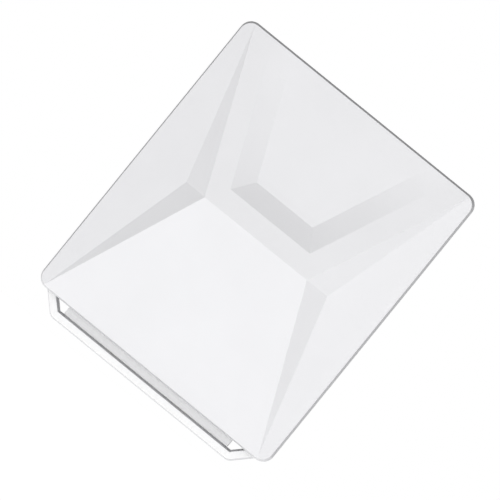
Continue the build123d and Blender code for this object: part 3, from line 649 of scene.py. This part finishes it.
def finish_of(name):
    """The finish of that name, made once from the scene's colours."""
    made = bpy.data.materials.get(name)
    if made is not None:
        return made
    tone = bpy.context.scene.antenna_colours
    makers = {
        "asa_moulded_white": lambda n: moulded_asa(n, tone.radome),
        "asa_moulded_guard": lambda n: moulded_asa(n, tone.guard),
        # Painted shade: the same moulded ASA in the darker sides colour, for the shade on the side
        # walls
        "asa_painted_shade_sides": lambda n: moulded_asa(n, tone.sides),
        "powder_coated_casting": lambda n: powder_coated(n, tone.housing),
        "aluminium_anodised_shroud": lambda n: anodised(n, tone.shroud, 0),
        "aluminium_sheet_reflector": lambda n: anodised(n, tone.sheet, 2),
        "epdm_rubber_moulded": lambda n: rubber(n, tone.rubber),
        "steel_galvanised": lambda n: galvanised(n, tone.zinc),
        "aluminium_cast_tumbled": lambda n: sand_cast(n, tone.cast),
        "stainless_steel_headed": lambda n: machined(n, tone.stainless),
        "brass_nickel_plated": lambda n: machined(n, tone.nickel, 0.22),
        "bronze_gold_plated": lambda n: machined(n, tone.gold, 0.2),
        "copper_sheet_rolled": lambda n: machined(n, tone.copper, 0.35),
        "ptfe_turned": lambda n: moulded_plain(n, tone.ptfe, 0.45, 1.38),
        "nylon_moulded_vent": lambda n: moulded_plain(n, tone.vent, 0.5, 1.5),
        "laminate_etched": lambda n: etched_board(n, tone.laminate),
    }
    return makers[name](name)

# ---- radome


def outline_half(z, half_x, half_z, radius):
    """Half width of a rounded rectangle at level z: the straight side, and in the corners the
    arc's centre plus the root of its radius squared less the level's height in it squared."""
    inside = np.clip(np.abs(z) - (half_z - radius), 0, radius)
    return half_x - radius + np.sqrt(np.maximum(radius**2 - inside**2, 0))


class RadomeForm:
    """Facets of the shell as functions of the level z, for the outside or, with an inset, for
    the inside. Every crease is a straight line in z between two named points."""

    def __init__(self, sizes, inset=0.0):
        self.inset = inset
        self.half_x = sizes.width / 2 - sizes.flare
        self.half_z = sizes.height / 2 - sizes.flare
        self.rim = sizes.back_front + sizes.skirt
        self.radius = sizes.corner - sizes.flare / 2
        self.ridge_half = self.half_x - sizes.ridge_inset
        self.ridge_front = self.rim + sizes.ridge_rise
        self.ridge_z = sizes.ridge_z
        self.shoulder_x = self.half_x - sizes.shoulder_inset
        self.shoulder_front = self.rim + sizes.shoulder_rise
        self.side_slope = sizes.shoulder_rise / sizes.shoulder_inset
        self.tip_x = self.half_x - sizes.tip_inset_x
        self.tip_z = self.half_z - sizes.tip_inset_z
        self.tip_front = self.rim + self.side_slope * sizes.tip_inset_x
        self.lean = (self.tip_x - self.ridge_half) / (self.tip_z - self.ridge_z)
        self.fall = (self.ridge_front - self.tip_front) / (self.tip_z - self.ridge_z)
        self.field_z = self.ridge_z + sizes.field_bottom
        self.foot_z = self.field_z + sizes.field_run
        stretch = math.hypot(1, self.lean)
        self.field_half = (
            self.ridge_half + self.lean * sizes.field_bottom - sizes.field_side * stretch
        )
        self.side_run = sizes.field_side_run
        self.foot_front = self.slope(self.foot_z) - sizes.field_drop
        self.field_fall = (self.foot_front - self.slope(self.half_z)) / (self.half_z - self.foot_z)
        self.foot_half = self.field_half + self.lean * sizes.field_run - self.side_run

    def slope(self, z):
        """Front of the upper and lower faces: the ridge's less the fall times the distance."""
        return self.ridge_front - self.fall * (z - self.ridge_z)

    def levels(self):
        """Levels of the grid's rows, through every named point and round the corners."""
        arc = self.half_z - self.radius + self.radius * np.sin(np.linspace(0, QUARTER, 19))
        marks = [self.ridge_z, self.field_z, self.foot_z, self.tip_z, -self.tip_z]
        walls = np.linspace(self.foot_z, self.half_z - self.radius, 9)
        return np.unique(np.round(np.concatenate([arc, -arc, marks, walls]), 7))

    def columns(self, z):
        """Across and front distances of the right half's five lines at each level: the edge of
        the outline, the valley, the hip, and the sunk field's outer and inner lines. Where the
        outline cuts a line off, the line takes the outline's place."""
        up = z > self.ridge_z
        t = np.where(up, z - self.ridge_z, self.ridge_z - z) / np.where(
            up, self.tip_z - self.ridge_z, self.tip_z + self.ridge_z
        )
        slope = self.ridge_front + t * (self.tip_front - self.ridge_front)
        edge = outline_half(
            z * (1 - self.inset / self.half_z),
            self.half_x - self.inset,
            self.half_z - self.inset,
            self.radius - self.inset,
        )
        past = self.half_x - (slope - self.rim) / self.side_slope
        hip = np.where(t <= 1, self.ridge_half + t * (self.tip_x - self.ridge_half), past)
        valley = np.where(t <= 1, self.shoulder_x + t * (self.tip_x - self.shoulder_x), past)
        valley_front = np.where(
            t <= 1, self.shoulder_front + t * (self.tip_front - self.shoulder_front), slope
        )
        side = self.rim + (self.half_x - edge) * self.side_slope
        edge_front = np.where(edge > valley, side, slope)
        valley_front = np.where(valley < edge, valley_front, edge_front)
        hip, valley = np.minimum(hip, edge), np.minimum(valley, edge)
        leaning = self.field_half + self.lean * (z - self.field_z)
        outer = np.where(z < self.field_z, self.field_half, leaning)
        outer = np.minimum(outer, edge)
        s = np.clip((z - self.field_z) / (self.foot_z - self.field_z), 0, 1)
        floor = self.foot_front - self.field_fall * (z - self.foot_z)
        wall = self.slope(self.field_z) + s * (self.foot_front - self.slope(self.field_z))
        inner = np.where(
            z < self.foot_z,
            self.field_half + s * (self.foot_half - self.field_half),
            outer - self.side_run,
        )
        inner_front = np.where(z < self.field_z, slope, np.where(z < self.foot_z, wall, floor))
        across = np.stack([edge, valley, hip, outer, inner], axis=1)
        front = np.stack([edge_front, valley_front, slope, slope, inner_front], axis=1)
        return across, front

    def surface(self):
        """Grid of the whole face: the right half's lines, mirrored and in order across."""
        z = self.levels()
        across, front = self.columns(z)
        x = np.hstack([-across, across[:, ::-1]])
        depth = np.hstack([front, front[:, ::-1]]) - self.inset
        level = np.broadcast_to(z[:, None] * (1 - self.inset / self.half_z), x.shape)
        return np.stack([x, -depth, level], axis=2)

    def front_at(self, x, z):
        """Front distance of the face at one place, read between the lines of its level."""
        across, front = self.columns(np.array([z]))
        return float(np.interp(abs(x), across[0][::-1], front[0][::-1]))


def around(grid):
    """Points along the edge of a grid, anticlockwise from its first corner."""
    return np.vstack([grid[0, :-1], grid[:-1, -1], grid[-1, :0:-1], grid[:0:-1, 0]])


def skirt_rings(edge, form, sizes):
    """Rings of the skirt from the face's edge: straight back to the rim, then out to the open
    edge, where each of x and z is stretched so that the two outlines' straights and corners
    meet."""
    inset = form.inset
    centre_x, centre_z = form.half_x - form.radius, form.half_z - form.radius
    straight = [form.half_x - inset, form.half_z - inset]
    back = [sizes.width / 2 - inset, sizes.height / 2 - inset]
    corner = sizes.corner - inset
    rim = edge.copy()
    rim[:, 1] = -form.rim
    open_edge = edge.copy()
    open_edge[:, 1] = -sizes.back_front
    across = (0, centre_x, straight[0], back[0])
    upwards = (2, centre_z, straight[1], back[1])
    for axis, centre, half, wide in (across, upwards):
        size = np.interp(np.abs(edge[:, axis]), [0, centre, half], [0, wide - corner, wide])
        open_edge[:, axis] = np.sign(edge[:, axis]) * size
    return np.stack([edge, rim, open_edge])


def shell(form, sizes):
    """Face and skirt of one side of the shell, and the ring of its open edge."""
    grid = form.surface()
    rings = skirt_rings(around(grid), form, sizes)
    face = (grid.reshape(-1, 3), grid_faces(*grid.shape[:2]))
    skirt = (rings.reshape(-1, 3), turned(grid_faces(3, rings.shape[1], closed=True)))
    return face, skirt, rings[-1]


def screw_places(sizes):
    """Places of the screws round the flange."""
    across, along = sizes.width / 2 - 11.5 * MM, sizes.height / 2 - 10.0 * MM
    sides = [(s * across, (k - 1.5) * 63.0 * MM) for s in (-1, 1) for k in range(4)]
    ends = [(k * 75.0 * MM, e * along) for e in (-1, 1) for k in (-1, 0, 1)]
    return sides + ends


def radome_points(sizes):
    """Outer and inner shell, the ring that closes them, and a tube round each screw."""
    outside, inside = RadomeForm(sizes), RadomeForm(sizes, sizes.wall)
    face, skirt, outer_ring = shell(outside, sizes)
    inner_face, inner_skirt, inner_ring = shell(inside, sizes)
    ring = np.stack([outer_ring, inner_ring])
    parts = [
        face,
        skirt,
        (inner_face[0], turned(inner_face[1])),
        (inner_skirt[0], turned(inner_skirt[1])),
        (ring.reshape(-1, 3), turned(grid_faces(2, ring.shape[1], closed=True))),
    ]
    seat = sizes.back_front + 3.0 * MM
    for x, z in screw_places(sizes):
        top = outside.front_at(x, z) - sizes.wall / 2
        tube = lathe(
            [2.0 * MM, 4.5 * MM, 4.5 * MM, 2.0 * MM, 2.0 * MM], [seat, seat, top, top, seat], 24
        )
        parts.append(moved(laid(tube, "-Y"), (x, 0, z)))
    return joined(parts)


class ANTENNA_OT_radome(bpy.types.Operator):
    """Build the faceted, moulded front shell"""

    bl_idname = "antenna.radome"
    bl_label = "Radome"

    def execute(self, context):
        sizes = context.scene.antenna_radome
        points, faces = radome_points(sizes)
        mesh = merged(points, faces)
        new_piece(
            "radome_shell",
            mesh,
            "panel",
            "asa_moulded_white",
            ("radome",),
            sizes.edge,
            6.0,
            # darker finish on the skirt walls, painted shade
            "asa_painted_shade_sides",
        )
        return {"FINISHED"}

# ---- guard, shroud, connectors


class ANTENNA_OT_guard(bpy.types.Operator):
    """Build the loop that guards the connectors"""

    bl_idname = "antenna.guard"
    bl_label = "Guard loop"

    def execute(self, context):
        sizes = context.scene.antenna_guard
        middle = -sizes.bar_z + sizes.face / 2
        knee = middle + (sizes.tab_x - sizes.limb_x)
        corners = np.array(
            [
                (-sizes.tab_x, -sizes.tab_top),
                (-sizes.tab_x, knee),
                (-sizes.limb_x, middle),
                (sizes.limb_x, middle),
                (sizes.tab_x, knee),
                (sizes.tab_x, -sizes.tab_top),
            ]
        )
        path = bent(corners, sizes.bend)
        level = path[:, 1]
        back = sizes.face / 2 + sizes.flare
        widen = np.clip((level - knee) / (6 * MM), 0, 1)
        front_half = sizes.face / 2 + widen * (sizes.tab_width / 2 - sizes.face / 2)
        half = np.stack([front_half, np.full_like(level, back)], axis=1)
        fronts = [sizes.front, sizes.front - sizes.depth]
        section = np.stack(
            [
                np.stack([half[:, 0], np.full_like(level, fronts[0])], axis=1),
                np.stack([half[:, 1], np.full_like(level, fronts[1])], axis=1),
                np.stack([-half[:, 1], np.full_like(level, fronts[1])], axis=1),
                np.stack([-half[:, 0], np.full_like(level, fronts[0])], axis=1),
            ],
            axis=1,
        )
        points, faces = carried(path, section)
        last = len(points)
        ends = np.array([[0, 1, 2, 3], [last - 1, last - 2, last - 3, last - 4]])
        mesh = merged(points, np.vstack([faces, ends]), wall_check=True)
        new_piece(
            "guard_loop",
            mesh,
            "panel",
            "asa_moulded_guard",
            ("lower_guard",),
            sizes.edge,
            35.0,
            # darker finish on the loop's walls, painted shade
            "asa_painted_shade_sides",
        )
        return {"FINISHED"}


class ANTENNA_OT_connectors(bpy.types.Operator):
    """Build the two threaded connectors, and finish their shroud and inner parts"""

    bl_idname = "antenna.connectors"
    bl_label = "Connectors"

    def execute(self, context):
        sizes = context.scene.antenna_fixings
        mouth, neck = cad_span("connector_bodies", 2)
        seal, _ = cad_span("connector_seals", 2)
        insulator, _ = cad_span("connector_insulators", 2)
        r, flange = sizes.connector, 2.5 * MM
        root = r - 0.54 * sizes.connector_pitch
        collar = seal - flange
        barrel = thread(r, sizes.connector_pitch, mouth, collar)
        # From the thread's top over the flange and the neck, down the bore and out at the mouth
        profile = [
            (root, collar),
            (9.5 * MM, collar),
            (10.0 * MM, collar + 0.5 * MM),
            (10.0 * MM, seal - 0.4 * MM),
            (9.6 * MM, seal),
            (6.35 * MM, seal),
            (6.35 * MM, neck),
            (3.5 * MM, neck),
            (3.5 * MM, insulator),
            (4.35 * MM, insulator),
            (4.35 * MM, mouth + 0.6 * MM),
            (4.9 * MM, mouth),
            (root, mouth),
        ]
        body = lathe(*map(list, zip(*profile)))
        single = joined([barrel, body])
        pair = [
            moved(single, (side * sizes.connector_x, -sizes.connector_front, 0)) for side in (-1, 1)
        ]
        new_piece(
            "connector_pair",
            merged(*joined(pair)),
            "panel",
            "brass_nickel_plated",
            ("connector_bodies",),
        )
        rounded_copy(
            "connector_shroud",
            "aluminium_anodised_shroud",
            sizes.edge * 0.6,
        )
        dress("connector_seals", "epdm_rubber_moulded")
        dress("connector_insulators", "ptfe_turned")
        dress("connector_nuts", "brass_nickel_plated")
        dress("connector_contacts", "bronze_gold_plated")
        return {"FINISHED"}

# ---- housing and mount


class ANTENNA_OT_housing(bpy.types.Operator):
    """Finish the cast housing, its gasket, vent and ground point"""

    bl_idname = "antenna.housing"
    bl_label = "Rear housing"

    def execute(self, context):
        edge = context.scene.antenna_fixings.edge
        rounded_copy("rear_housing", "powder_coated_casting", edge)
        rounded_copy("radome_gasket", "epdm_rubber_moulded", 0.3 * MM)
        rounded_copy("vent_plug", "nylon_moulded_vent", 0.3 * MM)
        dress("ground_washer", "stainless_steel_headed")
        for node in ("ground_screw", "housing_screws", "guard_screws"):
            rounded_copy(node, "stainless_steel_headed", 0.25 * MM)
        return {"FINISHED"}


FASTENERS = ("bolts", "washers", "nuts")


class ANTENNA_OT_tilt_mount(bpy.types.Operator):
    """Finish the tilt bracket and the bolts that it turns on"""

    bl_idname = "antenna.tilt_mount"
    bl_label = "Tilt mount"

    def execute(self, context):
        edge = context.scene.antenna_fixings.edge
        rounded_copy("tilt_bracket", "steel_galvanised", edge)
        tilt_parts = [f"{kind}_{part}" for kind in ("pivot", "lock") for part in FASTENERS]
        for node in ("bracket_screws", *tilt_parts):
            rounded_copy(node, "stainless_steel_headed", 0.25 * MM)
        return {"FINISHED"}


def clamp_bolt(sizes, end):
    """One long bolt laid along +Y: a chamfered hexagon head, a plain shank and a thread on
    its last 50 mm. The head's corners are lowered by tan 30 degrees times how far they stick
    out past its round face."""
    seat = -sizes.saddle
    head = seat - sizes.bolt_head
    flat = sizes.bolt_flats / 2
    root = sizes.bolt - 0.54 * sizes.bolt_pitch
    start = end - 50 * MM
    lean = math.tan(math.radians(30))
    rows = [
        (0.0, head, 0, 0.0),
        (flat * 0.95, head, 0, 0.0),
        (flat, head + 0.2 * MM, 1, -lean),
        (flat, seat, 1, 0.0),
        (sizes.bolt, seat, 0, 0.0),
        (sizes.bolt, start - 0.6 * MM, 0, 0.0),
        (root, start, 0, 0.0),
    ]
    radii, stations, hexed, leans = (list(c) for c in zip(*rows))
    shank = lathe(radii, stations, 48, hexed, np.array(leans))
    screw = thread(sizes.bolt, sizes.bolt_pitch, start, end)
    tip = lathe([root, root - 0.4 * MM, 0.0], [end, end, end], 48)
    return laid(joined([shank, screw, tip]), "+Y")


class ANTENNA_OT_pole_clamp(bpy.types.Operator):
    """Finish the clamp halves and build the long bolts that close them"""

    bl_idname = "antenna.pole_clamp"
    bl_label = "Pole clamp"

    def execute(self, context):
        sizes = context.scene.antenna_fixings
        steel = "stainless_steel_headed"
        for node in ("pole_bracket", "clamp_jaw"):
            rounded_copy(node, "aluminium_cast_tumbled", sizes.edge * 2)
        rounded_copy("clamp_washers", steel, 0.25 * MM)
        rounded_copy("clamp_nuts", steel, 0.4 * MM)
        _, end = cad_span("clamp_bolts", 1)
        bolt = clamp_bolt(sizes, end)
        four = [
            moved(bolt, (side * sizes.clamp_x, 0, level * sizes.clamp_z))
            for side in (-1, 1)
            for level in (-1, 1)
        ]
        new_piece(
            "clamp_bolt_set",
            merged(*joined(four)),
            "pole_mount",
            steel,
            ("clamp_bolts",),
        )
        return {"FINISHED"}


class ANTENNA_OT_inside(bpy.types.Operator):
    """Finish the reflector, the feed board and the patches inside"""

    bl_idname = "antenna.inside"
    bl_label = "Inside parts"

    def execute(self, context):
        finishes = {
            "reflector_plate": "aluminium_sheet_reflector",
            "feed_board": "laminate_etched",
            "driven_patches": "copper_sheet_rolled",
            "director_patches": "copper_sheet_rolled",
            "feed_probes": "brass_nickel_plated",
            "lower_patch_spacers": "ptfe_turned",
            "upper_patch_spacers": "ptfe_turned",
            "board_standoffs": "brass_nickel_plated",
            "board_screws": "stainless_steel_headed",
            "patch_screws": "stainless_steel_headed",
            "reflector_screws": "stainless_steel_headed",
        }
        for node, name in finishes.items():
            dress(node, name)
        return {"FINISHED"}

# ---- studio


def studio_floor(sizes, tone):
    """Round floor: rings of points whose radius grows as the square of their number, so that
    they are close together under the object."""
    step = np.linspace(0.02, 1, 12) ** 2
    angle = np.arange(96) * 2 * math.pi / 96
    level = cad_box[0][2] - sizes.floor_gap
    ring = np.stack([np.cos(angle), np.sin(angle)], axis=1)
    flat = sizes.floor_radius * step[:, None, None] * ring[None]
    points = np.concatenate([flat, np.full((*flat.shape[:2], 1), level)], axis=2).reshape(-1, 3)
    centre = np.array([[0.0, 0.0, level]])
    faces = turned(grid_faces(len(step), len(angle), closed=True))
    mesh = bpy.data.meshes.new("studio_floor")
    hub = [(len(points), i, (i + 1) % len(angle)) for i in range(len(angle))]
    mesh.from_pydata(np.vstack([points, centre]).tolist(), [], faces.tolist() + hub)
    values = {
        "Roughness": 0.9,
        "Emission Strength": sizes.floor_glow,
        "Emission Color": (1, 1, 1, 1),
    }
    finish, tree, shader, _, sources = new_finish(
        "paper_backdrop", values, {"fibre": (4 * MM, 3.0, EVEN)}
    )
    stops = tuple(zip(MIDDLE, shades(tone, 0.01)))
    fibre = {"Fac": sources["fibre"]}
    ramp = add_node(tree, "ShaderNodeValToRGB", links=fibre, stops=stops)
    tree.links.new(ramp.outputs["Color"], shader.inputs["Base Color"])
    mesh.materials.append(finish)
    floor = bpy.data.objects.new("studio_floor", mesh)
    bpy.context.scene.collection.objects.link(floor)


# Soft lights of the studio: the way that each one comes from, and how closely it is gathered
SOFT_LIGHTS = (
    ((0, -1, 0), 16),  # straight in front
    ((0.5, -0.87, 0), 8),  # front, right
    ((-0.5, -0.87, 0), 8),  # front, left
    ((1, 0, 0), 3),  # right
    ((-1, 0, 0), 3),  # left
    ((0, -0.71, 0.71), 6),  # front, above
    ((0, 0, 1), 3),  # above
    ((0, 1, 0), 2),  # back
)


def studio_light(sizes):
    """Soft light from all round: the radiance from a direction is the sum over the soft lights
    of each one's strength times the cosine of the angle to it, raised to its power. The camera
    sees plain white."""
    world = bpy.data.worlds.new("soft_studio")
    bpy.context.scene.world = world
    world.use_nodes = True
    tree = world.node_tree
    tree.nodes.clear()
    way = add_node(tree, "ShaderNodeTexCoord").outputs["Generated"]
    total = None
    for (direction, power), strength in zip(SOFT_LIGHTS, sizes.strengths):
        cosine = add_node(
            tree,
            "ShaderNodeVectorMath",
            {1: direction},
            {0: way},
            operation="DOT_PRODUCT",
        ).outputs["Value"]
        towards = add_node(tree, "ShaderNodeMath", {1: 0.0}, {0: cosine}, operation="MAXIMUM")
        lobe = add_node(
            tree, "ShaderNodeMath", {1: power}, {0: towards.outputs[0]}, operation="POWER"
        )
        settings, links = {1: strength, 2: 0.0}, {0: lobe.outputs[0]}
        if total is not None:
            links[2] = total
        total = add_node(
            tree, "ShaderNodeMath", settings, links, operation="MULTIPLY_ADD"
        ).outputs[0]
    seen = add_node(
        tree,
        "ShaderNodeMix",
        {3: 1.0},
        {0: add_node(tree, "ShaderNodeLightPath").outputs["Is Camera Ray"], 2: total},
        data_type="FLOAT",
    )
    sky = add_node(
        tree, "ShaderNodeBackground", {"Color": (1, 1, 1, 1)}, {"Strength": seen.outputs[0]}
    )
    add_node(tree, "ShaderNodeOutputWorld", links={"Surface": sky.outputs[0]})


def studio_camera(sizes):
    """Camera on a line from the aim, turned about it by the roll: its right-hand side is
    cos(roll) of the level right plus sin(roll) of the upright."""
    azimuth, elevation, roll = sizes.azimuth, sizes.elevation, sizes.roll
    towards = Vector(
        (
            math.sin(azimuth) * math.cos(elevation),
            -math.cos(azimuth) * math.cos(elevation),
            math.sin(elevation),
        )
    )
    level = Vector((math.cos(azimuth), math.sin(azimuth), 0))
    upright = towards.cross(level)
    right = level * math.cos(roll) + upright * math.sin(roll)
    above = upright * math.cos(roll) - level * math.sin(roll)
    camera = bpy.data.objects.new("studio_camera", bpy.data.cameras.new("studio_camera"))
    camera.data.lens = sizes.lens
    camera.data.sensor_width = 36
    camera.data.clip_end = 50
    place = Vector(sizes.aim) + towards * sizes.distance
    matrix = camera.matrix_world
    for row in range(3):
        matrix[row][0], matrix[row][1], matrix[row][2] = right[row], above[row], towards[row]
        matrix[row][3] = place[row]
    camera.matrix_world = matrix
    bpy.context.scene.collection.objects.link(camera)
    bpy.context.scene.camera = camera


class ANTENNA_OT_studio(bpy.types.Operator):
    """Build the floor, the soft light and the camera"""

    bl_idname = "antenna.studio"
    bl_label = "Studio"

    def execute(self, context):
        sizes = context.scene.antenna_studio
        studio_floor(sizes, context.scene.antenna_colours.floor)
        studio_light(sizes)
        studio_camera(sizes)
        context.scene.view_settings.view_transform = "Standard"
        return {"FINISHED"}

# ---- panel and registration

OPERATORS = (
    ANTENNA_OT_radome,
    ANTENNA_OT_guard,
    ANTENNA_OT_connectors,
    ANTENNA_OT_housing,
    ANTENNA_OT_tilt_mount,
    ANTENNA_OT_pole_clamp,
    ANTENNA_OT_inside,
    ANTENNA_OT_studio,
)
GROUPS = {
    "antenna_radome": RadomeSizes,
    "antenna_guard": GuardSizes,
    "antenna_fixings": FixingSizes,
    "antenna_colours": AntennaColours,
    "antenna_studio": StudioSettings,
}


class ANTENNA_PT_sidebar(bpy.types.Panel):
    """Buttons and settings of the antenna"""

    bl_idname = "ANTENNA_PT_sidebar"
    bl_label = "Panel antenna"
    bl_space_type = "VIEW_3D"
    bl_region_type = "UI"
    bl_category = "Antenna"

    def draw(self, context):
        for operator in OPERATORS:
            self.layout.operator(operator.bl_idname)
        for name, group in GROUPS.items():
            box = self.layout.box()
            box.label(text=group.__doc__)
            for setting in group.__annotations__:
                box.prop(getattr(context.scene, name), setting)


def register():
    for group in GROUPS.values():
        bpy.utils.register_class(group)
    for name, group in GROUPS.items():
        setattr(bpy.types.Scene, name, bpy.props.PointerProperty(type=group))
    for operator in OPERATORS:
        bpy.utils.register_class(operator)
    bpy.utils.register_class(ANTENNA_PT_sidebar)


def unregister():
    bpy.utils.unregister_class(ANTENNA_PT_sidebar)
    for operator in reversed(OPERATORS):
        bpy.utils.unregister_class(operator)
    for name, group in GROUPS.items():
        delattr(bpy.types.Scene, name)
        bpy.utils.unregister_class(group)


def main():
    register()
    bpy.ops.antenna.radome()
    bpy.ops.antenna.guard()
    bpy.ops.antenna.connectors()
    bpy.ops.antenna.housing()
    bpy.ops.antenna.tilt_mount()
    bpy.ops.antenna.pole_clamp()
    bpy.ops.antenna.inside()
    bpy.ops.antenna.studio()


if __name__ == "__main__":
    main()
